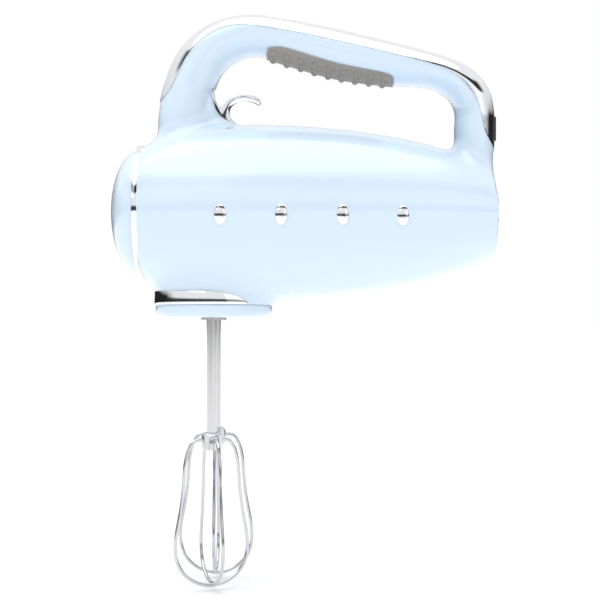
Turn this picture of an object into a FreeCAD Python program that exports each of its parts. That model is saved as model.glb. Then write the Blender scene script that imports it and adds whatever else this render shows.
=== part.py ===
"""Hand mixer: an egg-shaped motor body under a closed loop handle, with two wire beaters.

Frame, in millimetres: X runs from the nose (negative) to the heel, Y from the left side
(negative) to the right, Z up. The origin is the middle of the hand grip. The motor lies
along X and the two beater spindles along Z.
"""
import FreeCAD, Part
import Sketcher
import math
import os
import re

DOC = FreeCAD.newDocument("hand_mixer")
SHEET = DOC.addObject("Spreadsheet::Sheet", "Sheet")
ALIASES = []

# ---------------------------------------------------------------- driving sizes
SIZES = dict(
    # motor body: two half eggs that share their widest circle
    egg_x=-45, egg_z=-85, egg_radius=46.3, nose_reach=87, heel_reach=148,
    nose_plane=-103, heel_plane=83.5, wall=2.4,
    # nose dome and the ring behind it
    dome_reach=15.7, dome_radius=33, ring_width=3.2, ring_radius=35.4, ring_ahead=1.2,
    # handle section
    handle_half_width=15.2,
    # strip let into the top of the handle, and the pad under it
    trim_band=8, trim_proud=0.5, trim_sunk=1.2, trim_rear_z=-52,
    pad_front=-36.7, pad_rear=30, pad_band=5.6, pad_proud=0.8, nub_radius=1.5, nub_out=0.75,
    # hub under the body that carries the beaters
    spindle_x=-64.7, spindle_y=17.4, hub_radius=30.7, hub_bottom=-140.2, hub_seam=-133.8,
    hub_top=-100, hub_edge=3.5, band_top=-125.4, band_end_x=-46,
    # drive
    wheel_radius=12.3, wheel_width=9, wheel_teeth=36, worm_radius=4.8, worm_length=20,
    shaft_radius=2.5, spindle_radius=5.5, spindle_bore=2.66, spindle_top=-69, spindle_low=-141.4,
    pin_radius=2.6, pin_top=-62.2, pin_low=-91.8,
    beater_top=-95, running_gap=0.05,
    # beaters
    stem_radius=2.6, collar_top=-199.6, collar_low=-208.6, collar_radius=5.3,
    wire_radius=0.95, wire_start=3.4, shoulder_out=9.5, shoulder_z=-204.2, neck_out=13.2,
    neck_z=-211, cage_out=19.4, cage_wide_z=-260, cage_low=-278.45,
    left_phase=21, right_phase=0, loop_lift=1.1,
    # motor
    stator_front=-28, stator_rear=12, stator_radius=24, stator_bore=14.6, core_radius=14,
    fan_x=43, fan_radius=22, motor_plate_x=-45, rear_plate_x=55, shaft_front=-92, tail_x=64,
    tie_reach=18.5,
    # trigger under the front of the handle
    trigger_half=5.5, pivot_x=-78, pivot_z=-38, slot_half=6.1, slot_top=-19.6, slot_end=-51.5,
    slot_low=-50, lever_half=3,
    # controls
    slider_x=-26, slider_z=17.2, slider_tilt=9, rocker_z=-41, rocker_x=80,
)
# Centre line of the handle: x, z, half depth and tilt of each section, front to back.
HANDLE = [
    (-79.8, -84.3, 14.6, -90), (-80.3, -61.0, 14.6, -90), (-80.0, -41.9, 14.6, -90),
    (-78.8, -27.0, 14.2, -90), (-76.6, -16.4, 13.2, -81), (-71.3, -5.0, 12.7, -59),
    (-62.0, 3.7, 11.8, -36), (-51.4, 7.8, 11.1, -20), (-39.2, 8.5, 10.6, 0),
    (-20.9, 4.5, 11.5, 9), (2.7, -1.2, 12.2, 10), (31.3, -6.6, 10.7, 14),
    (51.9, -10.3, 8.8, 21), (64.1, -15.9, 9.4, 38), (70.8, -23.6, 10.1, 60),
    (73.0, -32.3, 10.2, 78), (72.9, -43.0, 10.3, 89), (72.9, -78.0, 10.3, 90),
]
SECTION_WORDS = ["front_root", "front_low", "front_mid", "front_high", "front_turn", "front_arch",
                 "front_crown", "crown_rise", "crown_top", "grip_front", "grip_mid", "grip_rear",
                 "rear_fall", "rear_arch", "rear_turn", "rear_high", "rear_mid", "rear_root"]


def fill_sheet():
    """Write every driving size into the sheet, one row each."""
    rows = list(SIZES.items())
    for word, (x, z, half, tilt) in zip(SECTION_WORDS, HANDLE):
        rows += [(word + "_x", x), (word + "_z", z), (word + "_half", half), (word + "_tilt", tilt)]
    for row, (alias, value) in enumerate(rows, 1):
        SHEET.set(f"A{row}", alias)
        SHEET.set(f"B{row}", str(value))
        SHEET.setAlias(f"B{row}", alias)
        ALIASES.append(alias)
    DOC.recompute()


fill_sheet()


def sheet_text(expression):
    """Give the expression with every size name read from the sheet."""
    known = set(ALIASES)
    return re.sub(r"[a-z_]+", lambda m: "Sheet." + m[0] if m[0] in known else m[0], str(expression))


def bind(obj, **values):
    for name, value in values.items():
        obj.setExpression(name, sheet_text(value))
    return obj


def place(obj, x=0, y=0, z=0, turn="rotation(vector(0;0;1);0)"):
    """Bind the whole placement: a position and a rotation."""
    text = f"placement(vector(({x});({y});({z})); {turn})"
    obj.setExpression("Placement", sheet_text(text))
    return obj


# Directions for turned shapes; the quarter turn keeps their seams off the plane the body splits on.
QUARTER = " * rotation(vector(0;0;1);90)"
ALONG = {
    "Z": "rotation(vector(0;0;1);90)",
    "X": "rotation(vector(0;1;0);90)" + QUARTER,
    "-X": "rotation(vector(0;1;0);-90)" + QUARTER,
    "Y": "rotation(vector(1;0;0);-90)",
    "-Z": "rotation(vector(1;0;0);180)",
}


def new(kind, name):
    return DOC.addObject(kind, name)


def box(name, x, y, z, dx, dy, dz):
    """A box from its low corner and its three lengths."""
    return place(bind(new("Part::Box", name), Length=dx, Width=dy, Height=dz), x, y, z)


def mid_box(name, x, y, z, dx, dy, dz):
    """A box about its centre."""
    return box(name, f"({x})-({dx})/2", f"({y})-({dy})/2", f"({z})-({dz})/2", dx, dy, dz)


def rod(name, radius, length, x, y, z, along="Z"):
    return place(bind(new("Part::Cylinder", name), Radius=radius, Height=length), x, y, z, ALONG[along])


def fuse(name, *shapes):
    made = new("Part::MultiFuse", name)
    made.Shapes = list(shapes)
    return made


def cut(name, base, *tools):
    made = new("Part::Cut", name)
    made.Base = base
    made.Tool = tools[0] if len(tools) == 1 else fuse(name + "_tools", *tools)
    return made


def common(name, *shapes):
    made = new("Part::MultiCommon", name)
    made.Shapes = list(shapes)
    return made


def ring(name, outer, inner, length, x, y, z, along="Z"):
    """A tube, its hole cut right through."""
    return cut(name, rod(name + "_out", outer, length, x, y, z, along),
               rod(name + "_in", inner, length, x, y, z, along))


def group(name, *shapes):
    """Separate pieces kept together as one node."""
    made = new("Part::Compound", name)
    made.Links = list(shapes)
    return made


def spun(name, base, x, y, z, axis, angle):
    """A copy of a shape turned about an axis through a point."""
    made = new("Part::Feature", name)
    DOC.recompute()
    copy = base.Shape.copy()
    copy.rotate(FreeCAD.Vector(x, y, z), FreeCAD.Vector(*axis), angle)
    made.Shape = copy
    return made


def size(alias):
    return float(SHEET.get(alias))


def rounded(name, base, radius, picks):
    """Fillet the edges that the picks function accepts."""
    DOC.recompute()
    made = new("Part::Fillet", name)
    made.Base = base
    edges = [i for i, edge in enumerate(base.Shape.Edges, 1) if picks(edge)]
    made.Edges = [(i, radius, radius) for i in edges]
    return made


def outline(name, points, half, y=0, x=0, z=0):
    """A flat outline in the XZ plane, thickened evenly about the plane at y."""
    sketch = new("Sketcher::SketchObject", name + "_outline")
    sketch.Placement = FreeCAD.Placement(FreeCAD.Vector(0, 0, 0),
                                         FreeCAD.Rotation(FreeCAD.Vector(1, 0, 0), 90))
    spots = [FreeCAD.Vector(px, pz, 0) for px, pz in points]
    for i, spot in enumerate(spots):
        sketch.addGeometry(Part.LineSegment(spot, spots[(i + 1) % len(spots)]), False)
    rules = []
    for i, (px, pz) in enumerate(points):
        rules.append(Sketcher.Constraint("Coincident", i, 2, (i + 1) % len(points), 1))
    sketch.addConstraint(rules)
    for i, (px, pz) in enumerate(points):
        sketch.addConstraint(Sketcher.Constraint("DistanceX", -1, 1, i, 1, px))
        sketch.addConstraint(Sketcher.Constraint("DistanceY", -1, 1, i, 1, pz))
    made = new("Part::Extrusion", name)
    made.Base = sketch
    made.DirMode = "Custom"
    made.Dir = FreeCAD.Vector(0, 1, 0)
    made.Solid = True
    made.Symmetric = True
    bind(made, LengthFwd=f"2*({half})")
    return place(made, x, y, z, "rotation(vector(0;0;1);0)")


# ---------------------------------------------------------------- body of the mixer
def half_egg(name, reach, radius, plane, toward_nose):
    """One half of the egg, ending on a flat plane across the motor axis."""
    made = new("Part::Ellipsoid", name)
    depth = f"(egg_x-({plane}))" if toward_nose else f"(({plane})-egg_x)"
    bind(made, Radius1=reach, Radius2=radius, Radius3=radius, Angle1=0, Angle3=360,
         Angle2=f"asin({depth}/({reach}))")
    return place(made, "egg_x", 0, "egg_z", ALONG["-X" if toward_nose else "X"])


def egg(name, grow, nose, heel):
    return fuse(name, half_egg(name + "_nose", f"nose_reach+{grow}", f"egg_radius+{grow}", nose, True),
                half_egg(name + "_heel", f"heel_reach+{grow}", f"egg_radius+{grow}", heel, False))


def handle(name, grow):
    """The handle loop, every section grown by the same amount."""
    sections = []
    for word in SECTION_WORDS:
        oval = new("Part::Ellipse", f"{name}_{word}")
        bind(oval, MajorRadius=f"handle_half_width+{grow}", MinorRadius=f"{word}_half+{grow}")
        place(oval, word + "_x", 0, word + "_z",
              f"rotation(vector(0;1;0);{word}_tilt) * rotation(vector(1;1;1);120)")
        sections.append(oval)
    made = new("Part::Loft", name)
    made.Sections = sections
    made.Solid = True
    return made


def handle_band(name, words, low, high):
    """A strip of space that follows the handle between two depths from its centre line."""
    frames = []
    for word in words:
        frame = new("Part::Plane", f"{name}_{word}")
        bind(frame, Length=50, Width=f"({high})-({low})".replace("HALF", word + "_half"))
        depth = f"({low})".replace("HALF", word + "_half")
        place(frame, f"{word}_x+{depth}*sin({word}_tilt)", -25, f"{word}_z+{depth}*cos({word}_tilt)",
              f"rotation(vector(0;1;0);{word}_tilt) * rotation(vector(1;1;1);120)")
        frames.append(frame)
    made = new("Part::Loft", name)
    made.Sections = frames
    made.Solid = True
    return made


outer_egg = egg("outer_egg", "0", "nose_plane", "heel_plane")
inner_egg = egg("inner_egg", "(0-wall)", "nose_plane+wall", "heel_plane-wall")
outer_handle = handle("outer_handle", "0")
inner_handle = handle("inner_handle", "(0-wall)")

hub_block = rod("hub_block", "hub_radius", "hub_top-hub_seam", "spindle_x", 0, "hub_seam")
hub_hollow = rod("hub_hollow", "hub_radius-wall", "hub_top-hub_seam", "spindle_x", 0, "hub_seam")
body_solid = fuse("body_solid", outer_egg, outer_handle, hub_block)
body_hollow = fuse("body_hollow", inner_egg, inner_handle, hub_hollow)

# Strip along the top of the handle
trim_band = handle_band("trim_band_space", SECTION_WORDS[3:18], "HALF-trim_band", "HALF+4")
trim_above = box("trim_above", -120, -30, "trim_rear_z", 240, 60, 90)
trim_space = common("trim_space", trim_band, trim_above)
trim_skin = cut("trim_skin", handle("trim_over", "trim_proud"), handle("trim_under", "(0-trim_sunk)"))
trim_whole = common("trim_whole", trim_skin, trim_space)

# Soft pad under the grip, with rows of nubs
pad_space = handle_band("pad_space", SECTION_WORDS[7:13], "0-HALF-4", "pad_band-HALF")
pad_length = box("pad_length", "pad_front", -30, -40, "pad_rear-pad_front", 60, 60)
pad_skin = cut("pad_skin", handle("pad_over", "pad_proud"), handle("pad_under", "(0-trim_sunk)"))
pad_plain = common("pad_plain", pad_skin, pad_space, pad_length)


# ---------------------------------------------------------------- pockets in the shell
BOSSES = [("boss_a", -76, -10), ("boss_b", 72.9, -30), ("boss_c", 70, -66), ("boss_d", 70, -104)]
boss_rods = [rod(name, 3.6, 60, x, -30, z, "Y") for name, x, z in BOSSES]
pivot_rod = rod("pivot_rod", 3.4, 60, "pivot_x", -30, "pivot_z", "Y")
pivot_gap = mid_box("pivot_gap", "pivot_x", 0, "pivot_z", 12, 12.6, 12)
pivot_bosses = cut("pivot_bosses", pivot_rod, pivot_gap)
boss_inside = common("boss_inside", fuse("boss_all", pivot_bosses, *boss_rods), body_hollow)
screw_holes = [rod(name + "_hole", 1.5, 22, x, -11, z, "Y") for name, x, z in BOSSES]
pin_hole = rod("pin_hole", 1.5, 25.2, "pivot_x", -12.6, "pivot_z", "Y")

TILTED = "rotation(vector(0;1;0);slider_tilt)"


def tilted_box(name, dx, dy, low, high, shift=0):
    """A box lying on the sloping top of the handle, centred on the speed slider."""
    made = bind(new("Part::Box", name), Length=dx, Width=dy, Height=f"({high})-({low})")
    along = f"(({shift})-({dx})/2)"
    return place(made, f"slider_x+{along}*cos(slider_tilt)+({low})*sin(slider_tilt)", f"0-({dy})/2",
                 f"slider_z-{along}*sin(slider_tilt)+({low})*cos(slider_tilt)", TILTED)


slider_pocket = tilted_box("slider_pocket", 20, 11, -5, 5)
rocker_pocket = box("rocker_pocket", 77, -6, "rocker_z-6.3", 20, 12, 12.6)
trigger_slot = box("trigger_slot", "pivot_x+7", "0-slot_half", "slot_low", "slot_end-pivot_x-7",
                   "2*slot_half", "slot_top-slot_low")
gland_hole = rod("gland_hole", 6.5, 20, 75, 0, "egg_z", "X")
STUDS = [("one", -58.6), ("two", -28.5), ("three", 2.1), ("four", 32.3)]


def stud(name, x, side):
    """A plain oval stud half sunk in the side of the body."""
    reach = "nose_reach" if x < size("egg_x") else "heel_reach"
    made = bind(new("Part::Ellipsoid", name), Radius1=5.2, Radius2=3.1, Radius3=1.3,
                Angle1=-90, Angle2=90, Angle3=360)
    bulge = f"{side}*sqrt((egg_radius*sqrt(1-(({x}-egg_x)/{reach})^2))^2-4.5^2)"
    return place(made, x, bulge, "egg_z-4.5")


left_studs = [stud(f"left_stud_{word}", x, -1) for word, x in STUDS]
right_studs = [stud(f"right_stud_{word}", x, 1) for word, x in STUDS]

band_ring = ring("band_ring", "hub_radius+0.7", "hub_radius-1.2", "band_top-hub_seam", "spindle_x", 0,
                 "hub_seam")
band_front = box("band_front", -110, -40, "hub_seam-1", "band_end_x+110", 80, 20)
hub_band = common("hub_band", band_ring, band_front)
ring_groove = ring("ring_groove", "egg_radius", "dome_radius", "ring_width-ring_ahead", "nose_plane", 0,
                   "egg_z", "X")

shell_raw = cut("shell_raw", body_solid, body_hollow)
shell_bossed = fuse("shell_bossed", shell_raw, boss_inside)
shell_let_in = cut("shell_let_in", shell_bossed, trim_whole, pad_plain)
shell_slotted = cut("shell_slotted", shell_let_in, trigger_slot, slider_pocket, rocker_pocket,
                    gland_hole, hub_band, ring_groove)
shell_drilled = cut("shell_drilled", shell_slotted, pin_hole, *screw_holes)
shell = cut("shell", shell_drilled, *left_studs, *right_studs)
left_half = box("left_half", -200, -100, -200, 400, 100, 400)
right_half = box("right_half", -200, 0, -200, 400, 100, 400)
NODES = {}


def node(name, made):
    """Name a finished piece; its file takes the same name."""
    made.Label = name
    NODES[name] = made
    return made


for half_name, keep in (("housing_left", left_half), ("housing_right", right_half)):
    half_shell = common(half_name + "_shell", shell, keep)
    half_shell.Refine = False
    node(half_name, half_shell)
node("handle_trim", cut("trim_cut", trim_whole, slider_pocket, rocker_pocket))
# Nubs sit in the pad's own thickness, in rows between one handle section and the next.
NUB_ROWS = [("crown_top", "grip_front", 0.32), ("crown_top", "grip_front", 0.72),
            ("grip_front", "grip_mid", 0.11), ("grip_front", "grip_mid", 0.4),
            ("grip_front", "grip_mid", 0.7), ("grip_mid", "grip_rear", 0.0),
            ("grip_mid", "grip_rear", 0.25), ("grip_mid", "grip_rear", 0.51),
            ("grip_mid", "grip_rear", 0.77)]
nubs = []
for step, (fore, aft, share) in enumerate(NUB_ROWS):
    x = f"{fore}_x+{share}*({aft}_x-{fore}_x)"
    middle = f"{fore}_z+{share}*({aft}_z-{fore}_z)"
    half = f"({fore}_half+{share}*({aft}_half-{fore}_half))"
    for side, depth in ((-1, 0.8), (0, 1), (1, 0.8)):
        bead = bind(new("Part::Sphere", f"nub_{step}_{side + 1}"), Radius="nub_radius")
        nubs.append(place(bead, x, f"{side}*handle_half_width*0.62", f"{middle}-{half}*{depth}-nub_out"))
node("grip_pad", fuse("pad_nubs", pad_plain, *nubs))
dome = half_egg("dome", "dome_reach", "dome_radius", "egg_x-dome_reach*0.9999", True)
bind(dome, Angle2=90)
place(dome, "nose_plane", 0, "egg_z", ALONG["-X"])
dome_inside = half_egg("dome_inside", "dome_reach-wall", "dome_radius-wall", "egg_x-1", True)
bind(dome_inside, Angle2=90)
place(dome_inside, "nose_plane", 0, "egg_z", ALONG["-X"])
node("nose_cap", cut("nose_dome", dome, dome_inside))
node("nose_ring", ring("nose_ring_tube", "ring_radius", "dome_radius", "ring_width",
                       "nose_plane-ring_ahead", 0, "egg_z", "X"))
node("hub_band", hub_band)
base_block = rod("base_block", "hub_radius", "hub_seam-hub_bottom", "spindle_x", 0, "hub_bottom")
base_round = rounded("base_round", base_block, size("hub_edge"),
                     lambda e: e.BoundBox.ZMax < size("hub_bottom") + 0.1)
base_hollow = rod("base_hollow", "hub_radius-wall", 10, "spindle_x", 0, "hub_bottom+wall")
SIDES = {"left": -1, "right": 1}
base_holes = [rod(f"base_hole_{w}", "spindle_radius+0.3", 20, "spindle_x", f"{k}*spindle_y", -145)
              for w, k in SIDES.items()]
node("hub_base", cut("base_tray", base_round, base_hollow, *base_holes))
node("lower_bushes", group("lower_bush_pair", *[
    ring(f"lower_bush_{w}", 8, "spindle_radius+running_gap", 6, "spindle_x", f"{k}*spindle_y",
         "hub_bottom+wall") for w, k in SIDES.items()]))
node("cord_gland", ring("gland_tube", 6.5, 3, 8, 76.8, 0, "egg_z", "X"))
node("heel_feet", group("feet", *[rod(f"foot_{w}", 2.4, 0.8, "heel_plane", f"{k}*5", "egg_z-13", "X")
                                  for w, k in SIDES.items()]))
node("left_studs", group("left_stud_row", *left_studs))
node("right_studs", group("right_stud_row", *right_studs))
node("housing_screws", group("screw_row", *[rod(n + "_screw", 1.45, 21, x, -10.5, z, "Y")
                                            for n, x, z in BOSSES]))

# ---------------------------------------------------------------- controls
slider_slot = tilted_box("slider_slot", 14, 6, -8, 8)
node("switch_bezel", cut("bezel_plate", tilted_box("bezel_block", 20, 11, -1.4, 0.3), slider_slot,
                         tilted_box("lens_hole", 1.8, 1.8, -8, 8, 8.6)))
node("indicator_lens", tilted_box("lens_block", 1.8, 1.8, -1.4, 0.5, 8.6))
knob = fuse("knob", tilted_box("knob_top", 7.4, 5.6, -1.2, 0.9), tilted_box("knob_foot", 7, 5, -4, -1.2))
node("speed_slider", knob)
frame_block = box("rocker_frame_block", 81, -6, "rocker_z-6.3", 2.9, 12, 12.6)
frame_hole = box("rocker_frame_hole", 70, -4.3, "rocker_z-5.3", 20, 8.6, 10.6)
node("rocker_frame", cut("rocker_frame_ring", frame_block, frame_hole))
rocker_front = rod("rocker_front", 6, 8, "rocker_x-1.5", -4, "rocker_z", "Y")
rocker_block = box("rocker_block", "rocker_x-2", -4, "rocker_z-4.5", 7, 8, 9)
rocker_pin = rod("rocker_pin", 0.7, 9.6, "rocker_x", -4.8, "rocker_z", "Y")
node("power_rocker", fuse("rocker_whole", common("rocker_body", rocker_front, rocker_block), rocker_pin))
node("rocker_switch", box("rocker_switch_block", 72, -5, "rocker_z-4", 5.2, 10, 8))

# ---------------------------------------------------------------- gearbox
cover_holes = [rod(f"cover_hole_{w}", 8, 60, "spindle_x", f"{k}*spindle_y", -120) for w, k in SIDES.items()]
lower_plate = box("lower_plate", -88, -31, -98, "motor_plate_x+88", 62, 3)
posts = [mid_box(f"post_{i}", x, y, -85, 5, 5, 20) for i, (x, y) in
         enumerate([(-84, -27), (-84, 27), (-48, -28), (-48, 28)])]
thrust = mid_box("thrust", -87, 0, -85, 6, 10, 20)
node("gearbox_frame", cut("gearbox_lower", fuse("gearbox_block", lower_plate, thrust, *posts),
                          rod("thrust_bore", "shaft_radius+running_gap", 10, -93, 0, "egg_z", "X"),
                          *cover_holes))
upper_plate = box("upper_plate", -88, -31, -75, "motor_plate_x+88", 62, 3)
node("gearbox_cover", cut("gearbox_upper", upper_plate, *cover_holes))
node("upper_bushes", group("upper_bush_pair", *[
    ring(f"upper_bush_{w}", 8, "spindle_radius+running_gap", 5, "spindle_x", f"{k}*spindle_y", -75)
    for w, k in SIDES.items()]))
node("gearbox_screws", group("gearbox_screw_set", *[
    rod(f"gearbox_screw_{i}", 2.4, 1.6, x, y, -72) for i, (x, y) in
    enumerate([(-84, -27), (-84, 27), (-48, -28), (-48, 28)])]))

# ---------------------------------------------------------------- motor
bearing_hole = rod("bearing_hole", 6, 140, -60, 0, "egg_z", "X")
node("motor_frame_front", cut("front_plate", mid_box("front_block", "motor_plate_x+1.5", 0, "egg_z",
                                                     3, 52, 44), bearing_hole))
node("motor_frame_rear", cut("rear_plate", rod("rear_disc", 29, 3, "rear_plate_x", 0, "egg_z", "X"),
                             bearing_hole))
node("front_bearing", ring("front_bearing_ring", 6, "shaft_radius+running_gap", 6, "motor_plate_x", 0,
                           "egg_z", "X"))
node("rear_bearing", ring("rear_bearing_ring", 6, "shaft_radius+running_gap", 6, "rear_plate_x", 0,
                          "egg_z", "X"))
node("stator_stack", ring("stator_tube", "stator_radius", "stator_bore", "stator_rear-stator_front",
                          "stator_front", 0, "egg_z", "X"))
node("field_coils", group("coil_pair",
                          ring("coil_front", 22, 15, 6, "stator_front-6", 0, "egg_z", "X"),
                          ring("coil_rear", 22, 15, 6, "stator_rear", 0, "egg_z", "X")))
TIES = [(-1, -1), (-1, 1), (1, -1), (1, 1)]
node("motor_screws", group("tie_set", *[
    rod(f"tie_{i}", 1.6, "rear_plate_x-motor_plate_x-3", "motor_plate_x+3", f"{a}*tie_reach",
        f"egg_z+{b}*tie_reach", "X") for i, (a, b) in enumerate(TIES)]))


def brush_piece(name, near, far, half_x, half_z):
    """The same block on both sides of the commutator."""
    return [mid_box(f"{name}_{w}", 31, f"{k}*(({near})+({far}))/2", "egg_z", 2 * half_x,
                    f"({far})-({near})", 2 * half_z) for w, k in SIDES.items()]


brushes = brush_piece("brush", 8.3, 16, 3, 2.5)
brush_room = brush_piece("brush_room", 5, 22.5, 3, 2.5)
node("brush_holders", group("holder_pair", *[
    cut(f"holder_tube_{i}", outer, room) for i, (outer, room) in
    enumerate(zip(brush_piece("holder", 9.5, 24, 4.2, 3.7), brush_room))]))
node("carbon_brushes", group("brush_pair", *brushes))


def coil(name, wire, radius, pitch, height, x, y, z, along="Z", starts=1):
    """Round wire wound on a helix; several starts make a screw thread."""
    turns = []
    for start in range(starts):
        path = Part.makeHelix(pitch, height, radius)
        centre = FreeCAD.Vector(radius, 0, 0)
        section = Part.Wire([Part.makeCircle(wire, centre, FreeCAD.Vector(0, 1, pitch / 20))])
        turn = path.makePipeShell([section], True, True)
        turn.rotate(FreeCAD.Vector(0, 0, 0), FreeCAD.Vector(0, 0, 1), 360.0 * start / starts)
        turns.append(turn)
    made = new("Part::Feature", name)
    made.Shape = turns[0] if starts == 1 else Part.makeCompound(turns)
    return place(made, x, y, z, ALONG[along])


node("brush_springs", group("brush_spring_pair", *[
    coil(f"brush_spring_{w}", 0.3, 1.7, 1.4, 5.6, 31, f"{k}*16.4+{min(k, 0) * 5.6}", "egg_z", "Y")
    for w, k in SIDES.items()]))
node("control_board", fuse("board", box("board_plate", -10, -14, -57, 48, 28, 1.6),
                           rod("board_cap", 4, 8, 8, 0, -55.4), box("board_chip", 18, -6, -55.4, 8, 10, 3),
                           box("board_terminals", 30, -8, -55.4, 7, 16, 4.4)))

# armature: everything here turns together
node("armature_shaft", rod("shaft", "shaft_radius", "tail_x-shaft_front", "shaft_front", 0, "egg_z", "X"))


def on_shaft(name, radius, length, x):
    return ring(name, radius, "shaft_radius", length, x, 0, "egg_z", "X")


core_slots = [spun(f"core_slot_{i}", box(f"core_slot_box_{i}", -30, -1, "egg_z+core_radius-3", 50, 2, 6),
                   0, 0, size("egg_z"), (1, 0, 0), 30 * i) for i in range(12)]
node("armature_core", cut("core", on_shaft("core_tube", "core_radius", 36, -26), *core_slots))
node("armature_windings", group("winding_pair", on_shaft("winding_front", 11, 7, -33),
                                on_shaft("winding_rear", 11, 7, 10)))
node("commutator", on_shaft("commutator_tube", 8, 12, 25))
blades = [spun(f"blade_{i}", box(f"blade_box_{i}", "fan_x+1.5", -0.6, "egg_z+7", 7, 1.2, "fan_radius-7"),
               0, 0, size("egg_z"), (1, 0, 0), 30 * i) for i in range(12)]
node("cooling_fan", fuse("fan", on_shaft("fan_hub", 8, 8.5, "fan_x"),
                         on_shaft("fan_disc", "fan_radius", 1.5, "fan_x"), *blades))
worm_core = on_shaft("worm_core", "worm_radius-0.7", "worm_length", "spindle_x-worm_length/2")
worm_thread = coil("worm_thread", 0.7, size("worm_radius") - 0.7, 9.6, size("worm_length") - 3,
                   "spindle_x-worm_length/2+1.5", 0, "egg_z", "X", 3)
node("worm", fuse("worm_body", worm_core, worm_thread))

# ---------------------------------------------------------------- spindles and beaters


def drive_wheel(side, k):
    """A toothed wheel pressed on its spindle."""
    blank = ring(f"{side}_wheel_blank", "wheel_radius", "spindle_radius", "wheel_width", "spindle_x",
                 f"{k}*spindle_y", "egg_z-wheel_width/2")
    count = int(size("wheel_teeth"))
    gap = mid_box(f"{side}_tooth_gap", "spindle_x+wheel_radius", f"{k}*spindle_y", "egg_z", 2, 1.05, 20)
    gaps = [spun(f"{side}_gap_{i}", gap, size("spindle_x"), k * size("spindle_y"), 0, (0, 0, 1),
                 360.0 * i / count) for i in range(count)]
    return cut(f"{side}_wheel", blank, *gaps)


def wire_loop(name, angle, y, lift):
    """One closed-bottom wire loop of a beater, both ends in the collar; lift raises its foot."""
    half = [("wire_start", "shoulder_z"), ("shoulder_out", "shoulder_z"), ("neck_out", "neck_z")]
    points = [(size(a), size(b)) for a, b in half]
    wide, low = size("cage_wide_z"), size("cage_low") + lift
    reach = size("cage_out")
    for part in (0.3, 0.65):
        points.append((size("neck_out") + part * (reach - size("neck_out")),
                       size("neck_z") + part * (wide - size("neck_z"))))
    for turn in (0, 30, 60):
        bow = math.radians(turn)
        points.append((reach * math.cos(bow), wide + (low - wide) * math.sin(bow)))
    spots = points + [(0, low)] + [(-x, z) for x, z in reversed(points)]
    curve = Part.BSplineCurve()
    curve.interpolate([FreeCAD.Vector(x, 0, z) for x, z in spots])
    path = Part.Wire([curve.toShape()])
    start = FreeCAD.Vector(points[0][0], 0, points[0][1])
    section = Part.Wire([Part.makeCircle(size("wire_radius"), start, curve.tangent(0)[0])])
    made = new("Part::Feature", name)
    made.Shape = path.makePipeShell([section], True, False)
    return place(made, "spindle_x", y, 0, f"rotation(vector(0;0;1);{angle})")


for side, k in SIDES.items():
    at = ("spindle_x", f"{k}*spindle_y")
    node(f"{side}_drive_gear", drive_wheel(side, k))
    node(f"{side}_spindle", ring(f"{side}_sleeve", "spindle_radius", "spindle_bore",
                                 "spindle_top-spindle_low", *at, "spindle_low"))
    node(f"{side}_pusher", rod(f"{side}_pin", "pin_radius", "pin_top-pin_low", *at, "pin_low"))
    loops = fuse(f"{side}_loops", wire_loop(f"{side}_loop_a", f"{side}_phase", at[1], 0),
                 wire_loop(f"{side}_loop_b", f"{side}_phase+90", at[1],
                           size("loop_lift")))
    stem = rod(f"{side}_stem", "stem_radius", "beater_top-collar_low", *at, "collar_low")
    loops_clear = cut(f"{side}_cage", loops, rod(f"{side}_stem_room", "stem_radius", 60, *at, -230))
    node(f"{side}_beater_wires", loops_clear)
    node(f"{side}_beater_shaft", stem)
    collar = ring(f"{side}_collar", "collar_radius", "stem_radius", "collar_top-collar_low", *at,
                  "collar_low")
    node(f"{side}_beater_collar", cut(f"{side}_collar_cut", collar, loops))

# ---------------------------------------------------------------- eject trigger
HOOK = [(-64.9, -20.1), (-63.2, -27), (-60.8, -29), (-57.6, -26.6), (-54.6, -23.9), (-48, -22.8),
        (-43.7, -23.6), (-40.3, -25.2), (-39.2, -26.4), (-42.7, -26.2), (-48, -25), (-51.9, -25.4),
        (-55.1, -27), (-56.9, -29.4), (-57.2, -32), (-56.4, -35), (-54.9, -36.8), (-52.8, -38),
        (-57.2, -37.6), (-61, -36.4), (-64, -35.5), (-66.4, -35.5), (-66.4, -21)]
hook = outline("hook", HOOK, "trigger_half")
lever = box("lever", "pivot_x", "0-lever_half", "pivot_z-3", "0-60-pivot_x", "2*lever_half", 5.5)
lever_hub = rod("lever_hub", 3.4, 7, "pivot_x", -3.5, "pivot_z", "Y")
node("eject_trigger", cut("trigger_body", fuse("trigger_all", hook, lever, lever_hub),
                          rod("trigger_bore", 1.55, 20, "pivot_x", -10, "pivot_z", "Y")))
node("trigger_pin", rod("pin_rod", 1.5, 25.2, "pivot_x", -12.6, "pivot_z", "Y"))
node("trigger_spring", coil("torsion", 0.35, 2.3, 0.9, 1.8, "pivot_x", 3.9, "pivot_z", "Y"))
plate = mid_box("slide_plate", "spindle_x", 0, "pin_top+1.5", 12, 42, 3)
stem_rod = rod("slide_stem", 2.5, "0-41-pin_top-3", -64, 0, "pin_top+3")
node("ejector_slide", fuse("slide_body", plate, stem_rod))
node("ejector_springs", group("return_pair", *[
    coil(f"return_{w}", 0.45, 2.2, 2.2, 8.6, "spindle_x", f"{k}*5", -71.5) for w, k in SIDES.items()]))


def write_parts():
    """Check every piece and write one file for each."""
    DOC.recompute()
    for obj in DOC.Objects:
        if any(state in ("Invalid", "Error") for state in obj.State):
            raise RuntimeError(f"{obj.Name} did not build: {obj.State}")
    os.makedirs("parts", exist_ok=True)
    for name, made in NODES.items():
        shape = made.Shape
        if shape.isNull() or not shape.isValid() or not shape.Solids:
            raise RuntimeError(f"{name} has no sound solid")
        shape.exportStep(f"parts/{name}.step")
        print(name, len(shape.Solids), round(shape.Volume, 1))


write_parts()
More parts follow.
